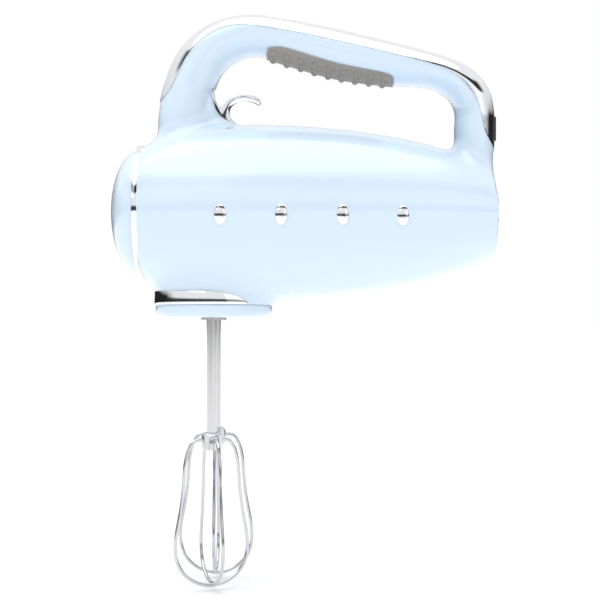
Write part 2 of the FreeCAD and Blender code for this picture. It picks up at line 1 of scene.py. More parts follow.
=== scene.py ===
"""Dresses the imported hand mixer: smooth enamelled shell, plated trim, soft grip and wire beaters."""

import logging
import math
from dataclasses import dataclass, field
from enum import Enum
from typing import Callable, Dict, List, Sequence, Tuple

import bpy
import numpy as np
from mathutils import Matrix, Vector


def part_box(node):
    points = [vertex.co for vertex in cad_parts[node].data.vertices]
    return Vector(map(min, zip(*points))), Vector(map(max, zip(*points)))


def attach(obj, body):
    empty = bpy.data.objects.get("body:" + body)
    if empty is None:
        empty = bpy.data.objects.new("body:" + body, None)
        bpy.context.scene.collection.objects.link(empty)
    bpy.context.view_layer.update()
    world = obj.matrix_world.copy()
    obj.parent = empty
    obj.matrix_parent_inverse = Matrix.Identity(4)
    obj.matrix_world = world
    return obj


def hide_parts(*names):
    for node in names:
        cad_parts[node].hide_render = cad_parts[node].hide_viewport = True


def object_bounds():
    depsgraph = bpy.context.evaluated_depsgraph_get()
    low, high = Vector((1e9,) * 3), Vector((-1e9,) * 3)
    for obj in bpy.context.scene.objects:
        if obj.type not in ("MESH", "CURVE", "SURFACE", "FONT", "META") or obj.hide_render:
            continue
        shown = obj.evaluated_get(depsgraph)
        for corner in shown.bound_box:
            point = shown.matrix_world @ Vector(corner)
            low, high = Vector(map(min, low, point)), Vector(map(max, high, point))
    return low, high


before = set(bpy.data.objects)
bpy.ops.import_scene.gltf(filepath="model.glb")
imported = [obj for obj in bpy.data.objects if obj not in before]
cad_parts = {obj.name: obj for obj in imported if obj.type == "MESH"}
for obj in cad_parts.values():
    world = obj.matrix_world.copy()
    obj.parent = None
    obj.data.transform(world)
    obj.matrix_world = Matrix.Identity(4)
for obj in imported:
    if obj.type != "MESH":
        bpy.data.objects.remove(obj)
CAD_BOX = [list(corner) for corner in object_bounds()]
LOG = logging.getLogger("mixer")
MM = 0.001
Point = Tuple[float, float, float]
SLIDER_PIVOT: Point = (-26.0, 0.0, 17.2)
SLIDER_TILT = 9
ROCKER_OPENING: Tuple[Point, Point] = ((77, -6, -47.3), (97, 6, -34.7))


class Axis(Enum):
    """A direction that a turned piece is made about."""

    X = "X"
    Z = "Z"


# ------------------------------------------------------------------ hand tools
class Bench:
    """Selection and modelling steps shared by every sub-assembly."""

    @staticmethod
    def clear() -> None:
        """Leave object mode with nothing selected."""
        if bpy.context.object and bpy.context.object.mode != "OBJECT":
            bpy.ops.object.mode_set(mode="OBJECT")
        bpy.ops.object.select_all(action="DESELECT")

    @staticmethod
    def pick(obj: bpy.types.Object) -> bpy.types.Object:
        """Select one object and make it active.

        Args:
            obj: The object to work on.

        Returns:
            The same object.
        """
        Bench.clear()
        obj.select_set(True)
        bpy.context.view_layer.objects.active = obj
        return obj

    @staticmethod
    def named(name: str) -> bpy.types.Object:
        """Name the object just added.

        Args:
            name: The piece's name.

        Returns:
            The active object.
        """
        obj = bpy.context.object
        obj.name = name
        obj.data.name = name
        return obj

    @staticmethod
    def settle(obj: bpy.types.Object) -> bpy.types.Object:
        """Put the object's place into its mesh.

        Args:
            obj: The object to settle.

        Returns:
            The same object at the origin, unturned and unscaled.
        """
        Bench.pick(obj)
        bpy.ops.object.transform_apply(location=True, rotation=True, scale=True)
        return obj

    @staticmethod
    def edit(obj: bpy.types.Object, kind: str, test: Callable[[Vector], bool]) -> None:
        """Enter edit mode with the matching elements selected.

        Args:
            obj: The object to edit.
            kind: VERT, EDGE or FACE.
            test: Accepts a vertex, a face's middle, or both ends of an edge.
        """
        Bench.pick(obj)
        bpy.ops.object.mode_set(mode="EDIT")
        bpy.ops.mesh.select_mode(type=kind)
        bpy.ops.mesh.select_all(action="DESELECT")
        bpy.ops.object.mode_set(mode="OBJECT")
        mesh = obj.data
        if kind == "VERT":
            for vert in mesh.vertices:
                vert.select = test(vert.co)
        elif kind == "FACE":
            for face in mesh.polygons:
                face.select = test(face.center)
        else:
            for edge in mesh.edges:
                ends = [mesh.vertices[i].co for i in edge.vertices]
                edge.select = test(ends[0]) and test(ends[1])
        bpy.ops.object.mode_set(mode="EDIT")

    @staticmethod
    def done() -> None:
        """Go back to object mode."""
        bpy.ops.object.mode_set(mode="OBJECT")

    @staticmethod
    def modify(obj: bpy.types.Object, kind: str, **settings: object) -> None:
        """Add a modifier and apply it.

        Args:
            obj: The piece to change.
            kind: The modifier's type.
            settings: Values for the modifier.
        """
        Bench.pick(obj)
        modifier = obj.modifiers.new(kind.title(), kind)
        for key, value in settings.items():
            setattr(modifier, key, value)
        bpy.ops.object.modifier_apply(modifier=modifier.name)

    @staticmethod
    def carve(obj: bpy.types.Object, cutter: bpy.types.Object) -> None:
        """Cut one closed piece out of another and throw the cutter away.

        Args:
            obj: The piece that is cut.
            cutter: The piece to take away.
        """
        Bench.modify(obj, "BOOLEAN", operation="DIFFERENCE", object=cutter, solver="EXACT")
        bpy.data.objects.remove(cutter)

    @staticmethod
    def block(name: str, low: Point, high: Point, soften: float = 0.0, tilt: float = 0.0,
              about: Point = (0, 0, 0)) -> bpy.types.Object:
        """A box between two corners in millimetres, its edges rounded.

        Args:
            name: The piece's name.
            low: Lowest corner.
            high: Highest corner.
            soften: Edge radius.
            tilt: Turn about Y in degrees.
            about: The point it turns about.

        Returns:
            The finished box.
        """
        Bench.clear()
        mid = [(a + b) / 2 * MM for a, b in zip(low, high)]
        bpy.ops.mesh.primitive_cube_add(size=1, location=mid)
        obj = Bench.named(name)
        obj.scale = [(b - a) * MM for a, b in zip(low, high)]
        Bench.settle(obj)
        if soften:
            Bench.modify(obj, "BEVEL", width=soften * MM, segments=4, limit_method="NONE")
        if tilt:
            centre = Vector(about) * MM
            turn = Matrix.Rotation(math.radians(tilt), 4, "Y")
            obj.matrix_world = Matrix.Translation(centre) @ turn @ Matrix.Translation(-centre)
            Bench.settle(obj)
        return obj

    @staticmethod
    def bar(name: str, radius: float, depth: float, centre: Point, sides: int,
            across: bool = False) -> bpy.types.Object:
        """A cylinder that cuts a round hollow; its sizes are in millimetres.

        Args:
            name: The piece's name.
            radius: Its radius.
            depth: Its length.
            centre: Its middle.
            sides: Faces around it.
            across: Whether it lies across the mixer and not upright.

        Returns:
            The cylinder.
        """
        Bench.clear()
        turn = (math.pi / 2, 0, 0) if across else (0, 0, 0)
        bpy.ops.mesh.primitive_cylinder_add(vertices=sides, radius=radius * MM, depth=depth * MM,
                                            rotation=turn, location=[v * MM for v in centre])
        return Bench.settle(Bench.named(name))

    @staticmethod
    def chain(name: str, spots: Sequence[Vector]) -> bpy.types.Object:
        """Extrude one vertex through a row of places, and stay in edit mode.

        Args:
            name: The piece's name.
            spots: The places in metres.

        Returns:
            The row of edges.
        """
        Bench.clear()
        bpy.ops.mesh.primitive_plane_add(size=MM, location=spots[0])
        obj = Bench.settle(Bench.named(name))
        bpy.ops.object.mode_set(mode="EDIT")
        bpy.ops.mesh.select_mode(type="VERT")
        bpy.ops.mesh.select_all(action="SELECT")
        bpy.ops.mesh.merge(type="CENTER")
        for before, after in zip(spots, spots[1:]):
            bpy.ops.mesh.extrude_region_move(TRANSFORM_OT_translate={"value": after - before})
        bpy.ops.mesh.select_all(action="SELECT")
        return obj

    @staticmethod
    def turned(name: str, profile: Sequence[Tuple[float, float]], axis: Axis, centre: Point,
               steps: int = 96) -> bpy.types.Object:
        """Spin a profile of (radius, height) points, in millimetres, about an axis.

        Args:
            name: The piece's name.
            profile: Radius and height of each point, in order.
            axis: The axis to spin about.
            centre: A point on the axis, where height is zero.
            steps: Steps in the full turn.

        Returns:
            The closed turned piece.
        """
        middle = Vector(centre)
        upright = axis is Axis.Z
        spots = [(middle + Vector((r, 0, h) if upright else (h, 0, r))) * MM for r, h in profile]
        obj = Bench.chain(name, spots)
        way = (0, 0, 1) if upright else (1, 0, 0)
        bpy.ops.mesh.spin(steps=steps, angle=2 * math.pi, center=middle * MM, axis=way)
        bpy.ops.mesh.select_all(action="SELECT")
        bpy.ops.mesh.remove_doubles(threshold=2e-6)
        bpy.ops.mesh.normals_make_consistent(inside=False)
        Bench.done()
        return obj

    @staticmethod
    def prism(name: str, outline: Sequence[Tuple[float, float]], half: float) -> bpy.types.Object:
        """Fill an outline seen from the side and extrude it across the mixer.

        Args:
            name: The piece's name.
            outline: X and Z of each corner, in millimetres.
            half: Half its width, in millimetres.

        Returns:
            The closed prism.
        """
        spots = [Vector((x, -half, z)) * MM for x, z in outline]
        obj = Bench.chain(name, spots + spots[:1])
        bpy.ops.mesh.remove_doubles(threshold=1e-6)
        bpy.ops.mesh.edge_face_add()
        bpy.ops.mesh.extrude_region_move(TRANSFORM_OT_translate={"value": (0, 2 * half * MM, 0)})
        bpy.ops.mesh.select_all(action="SELECT")
        bpy.ops.mesh.normals_make_consistent(inside=False)
        Bench.done()
        return obj

    @staticmethod
    def flow(points: Sequence[Tuple[float, float]], steps: int = 6) -> List[Tuple[float, float]]:
        """A smooth line through a few points.

        Args:
            points: The points that the line passes.
            steps: Steps between one point and the next.

        Returns:
            The line's points, ends included.
        """
        table = np.array(points)
        line = []
        for i in range(len(table) - 1):
            for step in range(steps):
                spot = Bench.between(table, i, step / steps)
                line.append((float(spot[0]), float(spot[1])))
        return line + [tuple(points[-1])]

    @staticmethod
    def between(table: np.ndarray, i: int, t: float) -> np.ndarray:
        """A row between two rows of a table, on a smooth curve through all its rows.

        Args:
            table: The rows that the curve passes.
            i: The row before.
            t: How far on towards the next row, from 0 to 1.

        Returns:
            The row at that place.
        """
        last = len(table) - 1
        a, b, c, d = (table[min(max(k, 0), last)] for k in (i - 1, i, i + 1, i + 2))
        return 0.5 * (2 * b + (c - a) * t + (2 * a - 5 * b + 4 * c - d) * t**2
                      + (3 * b - a - 3 * c + d) * t**3)

    @staticmethod
    def turn(angle: float, centre: Vector) -> None:
        """Turn what is selected about Y; with no window the operator turns the other way."""
        bpy.ops.transform.rotate(value=-angle, orient_axis="Y", center_override=centre)

    @staticmethod
    def overlap(obj: bpy.types.Object, other: bpy.types.Object) -> None:
        """Keep only what two closed pieces share, and throw the other away.

        Args:
            obj: The piece that is kept.
            other: The piece that bounds it.
        """
        Bench.modify(obj, "BOOLEAN", operation="INTERSECT", object=other, solver="EXACT")
        bpy.data.objects.remove(other)

    @staticmethod
    def smooth(obj: bpy.types.Object, angle: float) -> None:
        """Shade smooth below an angle.

        Args:
            obj: The piece to shade.
            angle: Largest smooth angle in degrees.
        """
        Bench.pick(obj)
        bpy.ops.object.shade_smooth_by_angle(angle=math.radians(angle))

    @staticmethod
    def join(name: str, parts: Sequence[bpy.types.Object]) -> bpy.types.Object:
        """Join several meshes into one piece.

        Args:
            name: The joined piece's name.
            parts: The meshes; the first keeps its place.

        Returns:
            The joined piece.
        """
        Bench.clear()
        for part in parts:
            part.select_set(True)
        bpy.context.view_layer.objects.active = parts[0]
        if len(parts) > 1:
            bpy.ops.object.join()
        return Bench.named(name)


# ------------------------------------------------------------------ shader groups
class Effects:
    """Shader node groups that several finishes share, each built once."""

    made: Dict[str, bpy.types.NodeTree] = {}

    @classmethod
    def start(cls, name: str, values: Dict[str, float], outputs: Sequence[str]
              ) -> Tuple[bpy.types.NodeTree, bpy.types.Node, bpy.types.Node]:
        """Open a new group with its sockets.

        Args:
            name: The group's name.
            values: Input names and defaults.
            outputs: Output names.

        Returns:
            The group, its input node and its output node.
        """
        tree = bpy.data.node_groups.new(name, "ShaderNodeTree")
        for key, value in values.items():
            socket = tree.interface.new_socket(key, in_out="INPUT", socket_type="NodeSocketFloat")
            socket.default_value = value
        for key in outputs:
            tree.interface.new_socket(key, in_out="OUTPUT", socket_type="NodeSocketFloat")
        cls.made[name] = tree
        return tree, tree.nodes.new("NodeGroupInput"), tree.nodes.new("NodeGroupOutput")

    @staticmethod
    def put(node: bpy.types.Node, **values: object) -> None:
        """Set constants on a node's sockets, named with _ for each space.

        Args:
            node: The node.
            values: A constant for each socket.
        """
        for key, value in values.items():
            node.inputs[key.replace("_", " ")].default_value = value

    @staticmethod
    def add(tree: bpy.types.NodeTree, kind: str, **settings: str) -> bpy.types.Node:
        """Add a node to a tree and set its options.

        Args:
            tree: The tree to add it to.
            kind: The node's type.
            settings: Values for the node's options.

        Returns:
            The node.
        """
        node = tree.nodes.new(kind)
        for key, value in settings.items():
            setattr(node, key, value)
        return node

    @classmethod
    def mottle(cls) -> bpy.types.NodeTree:
        """Slow variation and fine grain over a surface.

        Returns:
            A group with the outputs Slow, Fine and Height.
        """
        if "Mottle" in cls.made:
            return cls.made["Mottle"]
        tree, start, end = cls.start("Mottle", {"Slow Scale": 20, "Fine Scale": 900, "Stretch": 1.0},
                                     ("Slow", "Fine", "Height"))
        new, link = tree.nodes.new, tree.links.new
        where = new("ShaderNodeTexCoord")
        split = new("ShaderNodeSeparateXYZ")
        pull = cls.add(tree, "ShaderNodeMath", operation="MULTIPLY")
        back = new("ShaderNodeCombineXYZ")
        link(where.outputs["Object"], split.inputs[0])
        link(split.outputs["Z"], pull.inputs[0])
        link(start.outputs["Stretch"], pull.inputs[1])
        link(split.outputs["X"], back.inputs["X"])
        link(split.outputs["Y"], back.inputs["Y"])
        link(pull.outputs[0], back.inputs["Z"])
        for key, out in (("Slow Scale", "Slow"), ("Fine Scale", "Fine")):
            noise = new("ShaderNodeTexNoise")
            cls.put(noise, Detail=3)
            link(back.outputs[0], noise.inputs["Vector"])
            link(start.outputs[key], noise.inputs["Scale"])
            link(noise.outputs["Fac"], end.inputs[out])
            if out == "Fine":
                link(noise.outputs["Fac"], end.inputs["Height"])
        return tree

    @classmethod
    def wear(cls) -> bpy.types.NodeTree:
        """A mask that is one along rubbed edges.

        Returns:
            A group with the output Mask.
        """
        if "Edge Wear" in cls.made:
            return cls.made["Edge Wear"]
        tree, start, end = cls.start("Edge Wear", {"Amount": 0.5, "Breakup": 300}, ("Mask",))
        new, link = tree.nodes.new, tree.links.new
        shape = new("ShaderNodeNewGeometry")
        ramp = new("ShaderNodeMapRange")
        cls.put(ramp, From_Min=0.52, From_Max=0.62)
        where = new("ShaderNodeTexCoord")
        noise = new("ShaderNodeTexNoise")
        both = cls.add(tree, "ShaderNodeMath", operation="MULTIPLY")
        strength = cls.add(tree, "ShaderNodeMath", operation="MULTIPLY")
        link(shape.outputs["Pointiness"], ramp.inputs["Value"])
        link(where.outputs["Object"], noise.inputs["Vector"])
        link(start.outputs["Breakup"], noise.inputs["Scale"])
        link(ramp.outputs[0], both.inputs[0])
        link(noise.outputs["Fac"], both.inputs[1])
        link(both.outputs[0], strength.inputs[0])
        link(start.outputs["Amount"], strength.inputs[1])
        link(strength.outputs[0], end.inputs["Mask"])
        return tree


Colour = Tuple[float, float, float]


@dataclass(frozen=True)
class Finish:
    """How one material looks.

    Colours are linear; scales are per metre.
    """

    name: str
    base: Colour
    tint: Colour
    worn: Colour
    metallic: float = 0.0
    rough: float = 0.4
    rough_spread: float = 0.08
    coat: float = 0.0
    bump: float = 0.02
    slow: float = 18.0
    fine: float = 900.0
    stretch: float = 1.0
    wear: float = 0.3
    clear: float = 0.0

    def build(self) -> bpy.types.Material:
        """Make the material, once.

        Returns:
            The material.
        """
        if self.name in bpy.data.materials:
            return bpy.data.materials[self.name]
        material = bpy.data.materials.new(self.name)
        material.use_nodes = True
        tree = material.node_tree
        nodes, link = tree.nodes, tree.links.new
        shader = nodes["Principled BSDF"]
        Effects.put(shader, Metallic=self.metallic, Coat_Weight=self.coat, Coat_Roughness=0.03)
        if self.clear:
            Effects.put(shader, Transmission_Weight=self.clear)
        mottle = nodes.new("ShaderNodeGroup")
        mottle.node_tree = Effects.mottle()
        Effects.put(mottle, Slow_Scale=self.slow, Fine_Scale=self.fine, Stretch=self.stretch)
        wear = nodes.new("ShaderNodeGroup")
        wear.node_tree = Effects.wear()
        Effects.put(wear, Amount=self.wear)
        colour = Effects.add(tree, "ShaderNodeMix", data_type="RGBA")
        Effects.put(colour, A=(*self.base, 1), B=(*self.tint, 1))
        rubbed = Effects.add(tree, "ShaderNodeMix", data_type="RGBA")
        Effects.put(rubbed, B=(*self.worn, 1))
        link(mottle.outputs["Slow"], colour.inputs["Factor"])
        link(wear.outputs["Mask"], rubbed.inputs["Factor"])
        link(colour.outputs["Result"], rubbed.inputs["A"])
        link(rubbed.outputs["Result"], shader.inputs["Base Color"])
        spread = nodes.new("ShaderNodeMapRange")
        Effects.put(spread, To_Min=max(0.02, self.rough - self.rough_spread),
                    To_Max=self.rough + self.rough_spread)
        link(mottle.outputs["Fine"], spread.inputs["Value"])
        link(spread.outputs[0], shader.inputs["Roughness"])
        bump = nodes.new("ShaderNodeBump")
        Effects.put(bump, Strength=self.bump, Distance=0.0003)
        link(mottle.outputs["Height"], bump.inputs["Height"])
        link(bump.outputs["Normal"], shader.inputs["Normal"])
        return material

    def dress(self, *objects: bpy.types.Object) -> None:
        """Give the material to objects.

        Args:
            objects: Pieces or frame nodes.
        """
        for obj in objects:
            obj.data.materials.clear()
            obj.data.materials.append(self.build())


ENAMEL = Finish("pastel_enamel", (0.645, 0.78, 0.905), (0.67, 0.80, 0.92), (0.75, 0.86, 0.94), rough=0.22,
                rough_spread=0.03, coat=0.6, bump=0.004, fine=500, wear=0.25)
CHROME = Finish("bright_chrome", (0.84, 0.85, 0.86), (0.78, 0.79, 0.81), (0.92, 0.92, 0.92), 1.0, 0.07, 0.03,
                bump=0.003, fine=600)
STEEL = Finish("polished_steel", (0.66, 0.66, 0.67), (0.56, 0.56, 0.58), (0.8, 0.8, 0.8), 1.0, 0.16, 0.05,
               bump=0.02, fine=900, stretch=0.06)
TURNED = Finish("turned_steel", (0.50, 0.50, 0.52), (0.42, 0.42, 0.44), (0.7, 0.7, 0.7), 1.0, 0.32, 0.08,
                bump=0.08, fine=1400, stretch=0.1)
RUBBER = Finish("soft_grip", (0.33, 0.305, 0.28), (0.27, 0.25, 0.23), (0.42, 0.39, 0.36), rough=0.68,
                bump=0.25, fine=2500)
FOOT = Finish("grey_rubber", (0.10, 0.10, 0.105), (0.07, 0.07, 0.075), (0.16, 0.16, 0.16), rough=0.7,
              bump=0.3, fine=2200)
DARK = Finish("dark_plastic", (0.012, 0.012, 0.014), (0.02, 0.02, 0.022), (0.06, 0.06, 0.06), rough=0.38,
              bump=0.15, fine=1800)
NYLON = Finish("natural_nylon", (0.66, 0.63, 0.55), (0.58, 0.55, 0.47), (0.75, 0.72, 0.66), rough=0.5,
               bump=0.1, fine=1200)
BRONZE = Finish("sintered_bronze", (0.50, 0.32, 0.13), (0.38, 0.24, 0.10), (0.7, 0.5, 0.25), 1.0, 0.42,
                0.1, bump=0.2, fine=2600)
COPPER = Finish("copper_wire", (0.60, 0.24, 0.10), (0.42, 0.15, 0.06), (0.8, 0.4, 0.2), 1.0, 0.3, 0.1,
                bump=0.5, fine=1500, stretch=0.05)
CAST = Finish("cast_aluminium", (0.52, 0.53, 0.54), (0.44, 0.45, 0.46), (0.7, 0.7, 0.7), 1.0, 0.45, 0.1,
              bump=0.3, fine=1600)
CARBON = Finish("carbon_block", (0.01, 0.01, 0.01), (0.02, 0.02, 0.02), (0.05, 0.05, 0.05), rough=0.6,
                bump=0.2, fine=2400)
LAMINATE = Finish("green_laminate", (0.01, 0.10, 0.035), (0.015, 0.13, 0.05), (0.1, 0.25, 0.1), rough=0.35,
                  bump=0.1, fine=2000)
LENS = Finish("clear_lens", (0.9, 0.95, 1.0), (0.85, 0.92, 1.0), (1, 1, 1), rough=0.08, clear=0.7,
              bump=0.01)


# ------------------------------------------------------------------ shape of the body
@dataclass
class Sizes:
    """Sizes that several sub-assemblies share, in millimetres."""

    nose_plane: float
    spindle_x: float
    spindle_y: float
    hub_radius: float
    hub_bottom: float
    hub_seam: float
    egg_z: float
    ring_radius: float
    egg_x: float = -45.0
    radius: float = 46.3
    nose_reach: float = 87.0
    heel_reach: float = 148.0
    heel_plane: float = 83.5
    half_width: float = 15.2
    path: List[Tuple[float, float, float, float]] = field(default_factory=lambda: [
        (-79.8, -84.3, 14.6, -90), (-80.3, -61.0, 14.6, -90), (-80.0, -41.9, 14.6, -90),
        (-78.8, -27.0, 14.2, -90), (-76.6, -16.4, 13.2, -81), (-71.3, -5.0, 12.7, -59),
        (-62.0, 3.7, 11.8, -36), (-51.4, 7.8, 11.1, -20), (-39.2, 8.5, 10.6, 0),
        (-20.9, 4.5, 11.5, 9), (2.7, -1.2, 12.2, 10), (31.3, -6.6, 10.7, 14),
        (51.9, -10.3, 8.8, 21), (64.1, -15.9, 9.4, 38), (70.8, -23.6, 10.1, 60),
        (73.0, -32.3, 10.2, 78), (72.9, -43.0, 10.3, 89), (72.9, -78.0, 10.3, 90)])

    @classmethod
    def from_frame(cls) -> "Sizes":
        """Read the sizes that the frame's nodes give.

        Returns:
            The shared sizes.
        """
        base_low, base_high = (Vector(corner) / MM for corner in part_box("hub_base"))
        ring_low, ring_high = (Vector(corner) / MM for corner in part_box("nose_ring"))
        spindle_low, spindle_high = (Vector(corner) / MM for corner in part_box("right_spindle"))
        spindle = (spindle_low + spindle_high) / 2
        return cls(nose_plane=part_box("housing_left")[0][0] / MM, spindle_x=spindle.x, spindle_y=spindle.y,
                   hub_radius=(base_high.y - base_low.y) / 2, hub_bottom=base_low.z, hub_seam=base_high.z,
                   egg_z=(ring_low.z + ring_high.z) / 2, ring_radius=(ring_high.z - ring_low.z) / 2)

    def section(self, place: float) -> Tuple[float, float, float, float]:
        """The handle's centre, half depth and tilt at a place along its path.

        Args:
            place: From 0 at the front root to the last section's number.

        Returns:
            X, Z, half depth and tilt in radians.
        """
        table = np.array(self.path)
        i = int(min(max(math.floor(place), 0), len(table) - 2))
        row = Bench.between(table, i, place - i)
        return row[0], row[1], row[2], math.radians(row[3])

    def tube(self, name: str, grow: float, rows: int = 110) -> bpy.types.Object:
        """Extrude an oval along the handle, resized and turned at each step.

        Args:
            name: The piece's name.
            grow: Distance outside the handle's skin, in millimetres.
            rows: Steps along the handle.

        Returns:
            The closed tube.
        """
        last = len(self.path) - 1
        x, z, half, tilt = self.section(0)
        Bench.clear()
        bpy.ops.mesh.primitive_circle_add(vertices=72, radius=MM, fill_type="NGON",
                                          location=(x * MM, 0, z * MM),
                                          rotation=(0, math.pi / 2 + tilt, 0))
        obj = Bench.named(name)
        obj.scale = (half + grow, self.half_width + grow, 1)
        Bench.settle(obj)
        bpy.ops.object.mode_set(mode="EDIT")
        bpy.ops.mesh.select_all(action="SELECT")
        for row in range(1, rows + 1):
            new_x, new_z, new_half, new_tilt = self.section(last * row / rows)
            move = Vector((new_x - x, 0, new_z - z)) * MM
            centre = Vector((new_x, 0, new_z)) * MM
            bpy.ops.mesh.extrude_region_move(TRANSFORM_OT_translate={"value": move})
            Bench.turn(-tilt, centre)
            scale = (new_half + grow) / (half + grow)
            bpy.ops.transform.resize(value=(1, 1, scale), center_override=centre)
            Bench.turn(new_tilt, centre)
            x, z, half, tilt = new_x, new_z, new_half, new_tilt
        bpy.ops.mesh.select_all(action="SELECT")
        bpy.ops.mesh.normals_make_consistent(inside=False)
        Bench.done()
        return obj

    def on_handle(self, place: float, angle: float, grow: float) -> Vector:
        """A point on the handle's skin.

        Args:
            place: Place along the path.
            angle: Turn from the outer side, in radians.
            grow: Distance outside the skin.

        Returns:
            The point in metres.
        """
        x, z, half, tilt = self.section(place)
        depth = (half + grow) * math.cos(angle)
        side = (self.half_width + grow) * math.sin(angle)
        return Vector((x + depth * math.sin(tilt), side, z + depth * math.cos(tilt))) * MM


@dataclass
class BodyShell:
    """The blended egg, handle and hub, split into two halves along the middle."""

    sizes: Sizes
    voxel: float = 1.15
    blend: float = 13.0
    wall: float = 1.8
    seam: float = 0.05
    nose_gap: float = 0.3
    heel_round: float = 5
    hub_top: float = 33.8
    hub_overlap: float = 12
    far: float = 99.0
    gain: float = 1.6
    hub_zone: float = -100
    levels: int = 20
    samples: int = 170
    softening: int = 170

    def egg(self, name: str) -> bpy.types.Object:
        """Stretch a ball into the egg and trim both ends.

        Args:
            name: The piece's name.

        Returns:
            The closed egg.
        """
        s = self.sizes
        Bench.clear()
        bpy.ops.mesh.primitive_uv_sphere_add(segments=192, ring_count=96, radius=s.radius * MM,
                                             location=(s.egg_x * MM, 0, s.egg_z * MM),
                                             rotation=(0, math.pi / 2, 0))
        obj = Bench.settle(Bench.named(name))
        middle = (s.egg_x * MM, 0, s.egg_z * MM)
        for side, reach in ((-1, s.nose_reach), (1, s.heel_reach)):
            Bench.edit(obj, "VERT", lambda co: side * (co.x - middle[0]) > 1e-6)
            bpy.ops.transform.resize(value=(reach / s.radius, 1, 1), center_override=middle)
            Bench.done()
        for plane, way in ((s.nose_plane, -1), (s.heel_plane, 1)):
            Bench.edit(obj, "VERT", lambda co: True)
            bpy.ops.mesh.bisect(plane_co=(plane * MM, 0, 0), plane_no=(way, 0, 0), use_fill=True,
                                clear_outer=True)
            Bench.done()
        rim = (s.heel_plane - 0.01) * MM
        Bench.edit(obj, "EDGE", lambda co: co.x > rim and math.hypot(co.y, co.z - middle[2]) > 0.02)
        bpy.ops.mesh.bevel(offset=self.heel_round * MM, segments=8, affect="EDGES")
        Bench.done()
        return obj

    def hub(self, name: str) -> bpy.types.Object:
        """Turn the hub that carries the beaters.

        Args:
            name: The piece's name.

        Returns:
            The closed hub.
        """
        s = self.sizes
        top, foot = self.hub_top, -self.hub_overlap
        rows = [(0, top), (s.hub_radius - 3, top), (s.hub_radius, 30), (s.hub_radius, foot), (0, foot)]
        return Bench.turned(name, rows, Axis.Z, (s.spindle_x, 0, s.hub_seam), 144)

    def web(self, name: str) -> bpy.types.Object:
        """Fill the corner between the front column and the egg, where the trigger sits.

        Args:
            name: The piece's name.

        Returns:
            The closed web.
        """
        curve = Bench.flow([(-65.6, -24), (-63.8, -29.8), (-59, -35.4), (-50, -39.6)], 5)
        web = Bench.prism(name, curve + [(-50, -50), (-72, -50), (-72, -24)], 9)
        Bench.modify(web, "BEVEL", width=3 * MM, segments=4, limit_method="ANGLE", angle_limit=0.9)
        return web

    def weigh(self, obj: bpy.types.Object) -> None:
        """Mark the vertices near a join, where the skin is blended.

        Args:
            obj: The remeshed body.
        """
        s = self.sizes
        co = np.zeros(len(obj.data.vertices) * 3)
        obj.data.vertices.foreach_get("co", co)
        x, y, z = (co.reshape(-1, 3) / MM).T
        reach = np.where(x < s.egg_x, s.nose_reach, s.heel_reach)
        bulge = s.radius * np.sqrt(np.clip(1 - ((x - s.egg_x) / reach) ** 2, 0.02, 1))
        to_egg = np.abs(np.hypot(y, z - s.egg_z) - bulge)
        to_hub = np.where(z < self.hub_zone, np.abs(np.hypot(x - s.spindle_x, y) - s.hub_radius), self.far)
        to_handle = np.full(len(x), self.far)
        for i in range(self.samples + 1):
            cx, cz, half, tilt = s.section((len(s.path) - 1) * i / self.samples)
            along = (x - cx) * math.cos(tilt) - (z - cz) * math.sin(tilt)
            depth = (x - cx) * math.sin(tilt) + (z - cz) * math.cos(tilt)
            gap = np.abs(np.hypot(depth / half, y / s.half_width) - 1) * half
            to_handle = np.minimum(to_handle, np.hypot(gap, np.maximum(np.abs(along) - 1.5, 0)))
        to_handle[z < s.path[-1][1]] = self.far
        near = np.maximum(to_egg, np.minimum(to_hub, to_handle))
        weight = np.clip(self.gain * (1 - near / self.blend), 0, 1)
        soft, hard = obj.vertex_groups.new(name="soft"), obj.vertex_groups.new(name="hard")
        levels = np.round(weight * self.levels).astype(int)
        for level in range(self.levels + 1):
            chosen = np.nonzero(levels == level)[0].tolist()
            if chosen:
                soft.add(chosen, level / self.levels, "REPLACE")
                hard.add(chosen, 1 - level / self.levels, "REPLACE")

    def build(self) -> List[bpy.types.Object]:
        """Blend, open and split the shell.

        Returns:
            The left and right halves.
        """
        s = self.sizes
        parts = [self.egg("egg"), s.tube("handle", 0), self.hub("hub"), self.web("web")]
        target = Bench.join("shell_target", parts)
        Bench.pick(target)
        bpy.ops.object.duplicate()
        body = Bench.named("shell_body")
        Bench.modify(body, "REMESH", mode="VOXEL", voxel_size=self.voxel * MM)
        self.weigh(body)
        wrap = {"target": target, "wrap_method": "NEAREST_SURFACEPOINT"}
        Bench.modify(body, "SHRINKWRAP", vertex_group="hard", **wrap)
        Bench.modify(body, "SMOOTH", factor=0.5, iterations=self.softening, vertex_group="soft")
        Bench.modify(body, "SHRINKWRAP", vertex_group="hard", **wrap)
        Bench.modify(body, "SMOOTH", factor=0.5, iterations=6)
        bpy.data.objects.remove(target)
        Bench.carve(body, Bench.join("openings", self.cutters()))
        halves = []
        for side, name in ((-1, "shell_left"), (1, "shell_right")):
            Bench.pick(body)
            bpy.ops.object.duplicate()
            half = Bench.named(name)
            Bench.edit(half, "VERT", lambda co: True)
            bpy.ops.mesh.bisect(plane_co=(0, side * self.seam * MM, 0), plane_no=(0, side, 0),
                                clear_inner=True)
            bpy.ops.mesh.select_all(action="SELECT")
            bpy.ops.mesh.bisect(plane_co=(0, 0, (s.hub_seam + self.seam) * MM), plane_no=(0, 0, -1),
                                clear_outer=True)
            bpy.ops.mesh.select_all(action="SELECT")
            bpy.ops.mesh.bisect(plane_co=((s.nose_plane + self.nose_gap) * MM, 0, 0),
                                plane_no=(-1, 0, 0), clear_outer=True)
            Bench.done()
            Bench.modify(half, "SOLIDIFY", thickness=self.wall * MM, offset=-1)
            Bench.smooth(half, 35)
            ENAMEL.dress(half)
